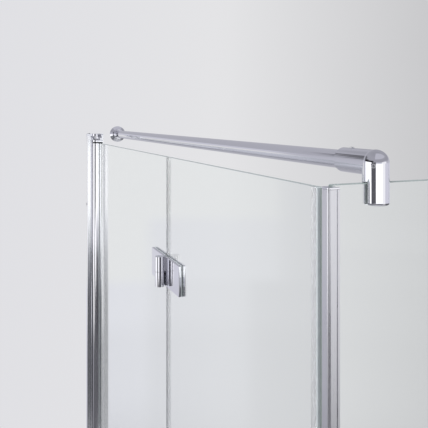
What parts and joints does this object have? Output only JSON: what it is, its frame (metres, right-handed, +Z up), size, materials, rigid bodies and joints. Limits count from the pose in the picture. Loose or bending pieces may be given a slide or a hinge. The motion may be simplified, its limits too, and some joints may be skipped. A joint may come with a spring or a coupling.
{
  "type": "shower enclosure",
  "caption": "Corner shower enclosure with a folding glass door on a pivot column, a fixed glass side panel and a chrome stabiliser bar.",
  "frame": {"origin": "on the floor, at the centre of the outline seen from above", "axes": "+X from the door's wall towards the side panel, +Y from the door into the enclosure, +Z up"},
  "size_m": [1.008, 1.031, 1.986],
  "materials": {
    "chrome": "polished chrome plating",
    "polished_aluminium": "bright anodised, polished",
    "steel": "turned stainless steel",
    "safety_glass": "clear toughened glass, faint green edge",
    "clear_pvc": "clear extruded seal",
    "grey_rubber": "translucent grey gasket",
    "dark_plastic": "moulded",
    "grey_plastic": "moulded"
  },
  "bodies": {
    "frame": {"wall_channel": "polished_aluminium", "wall_profile": "polished_aluminium", "profile_lock_screws": "steel", "top_pivot_bracket": "chrome", "top_bracket_screws": "steel", "top_pivot_pin": "chrome", "pivot_lock_screw": "steel", "bottom_pivot_bracket": "chrome", "bottom_bracket_screws": "steel", "bottom_pivot_pin": "steel", "thrust_washer": "dark_plastic", "bar_rosette": "chrome", "bar_rosette_grub_screw": "steel", "stabiliser_bar": "chrome", "glass_clamp": "chrome", "clamp_pads": "clear_pvc", "clamp_grub_screws": "steel", "side_glass": "safety_glass", "side_edge_profile": "polished_aluminium", "side_edge_gaskets": "grey_rubber", "side_edge_caps": "chrome", "magnet_strip": "grey_plastic", "back_channel": "polished_aluminium", "back_glass_profile": "polished_aluminium", "back_gaskets": "grey_rubber", "back_lock_screws": "steel", "back_profile_cap": "chrome", "base_rail": "polished_aluminium", "base_rail_gaskets": "grey_rubber", "setting_blocks": "dark_plastic", "water_strip": "polished_aluminium", "water_strip_end_caps": "grey_plastic"},
    "inner_panel": {"pivot_column": "polished_aluminium", "column_top_cap": "chrome", "column_bottom_cap": "chrome", "top_bush": "dark_plastic", "bottom_bush": "dark_plastic", "column_gaskets": "grey_rubber", "inner_glass": "safety_glass", "inner_hinge_plates": "chrome", "inner_hinge_back_plates": "chrome", "inner_hinge_gaskets": "grey_rubber", "inner_hinge_screws": "steel", "hinge_pins": "steel", "inner_bottom_seal": "clear_pvc"},
    "outer_panel": {"outer_glass": "safety_glass", "outer_hinge_plates": "chrome", "outer_hinge_back_plates": "chrome", "outer_hinge_gaskets": "grey_rubber", "outer_hinge_screws": "steel", "fold_seal": "clear_pvc", "free_edge_seal": "clear_pvc", "outer_bottom_seal": "clear_pvc", "outside_knob": "chrome", "inside_knob": "chrome", "knob_washers": "clear_pvc", "knob_screw": "steel"}
  },
  "joints": [
    {"name": "panel_pivot", "type": "hinge", "parent": "frame", "child": "inner_panel", "pos_m": [-0.488, -0.4905, 0.98], "axis": [0, 0, 1], "range_deg": [-60, 85]},
    {"name": "fold", "type": "hinge", "parent": "inner_panel", "child": "outer_panel", "pos_m": [0.049, -0.4995, 0.98], "axis": [0, 0, -1], "range_deg": [0, 175]}
  ]
}
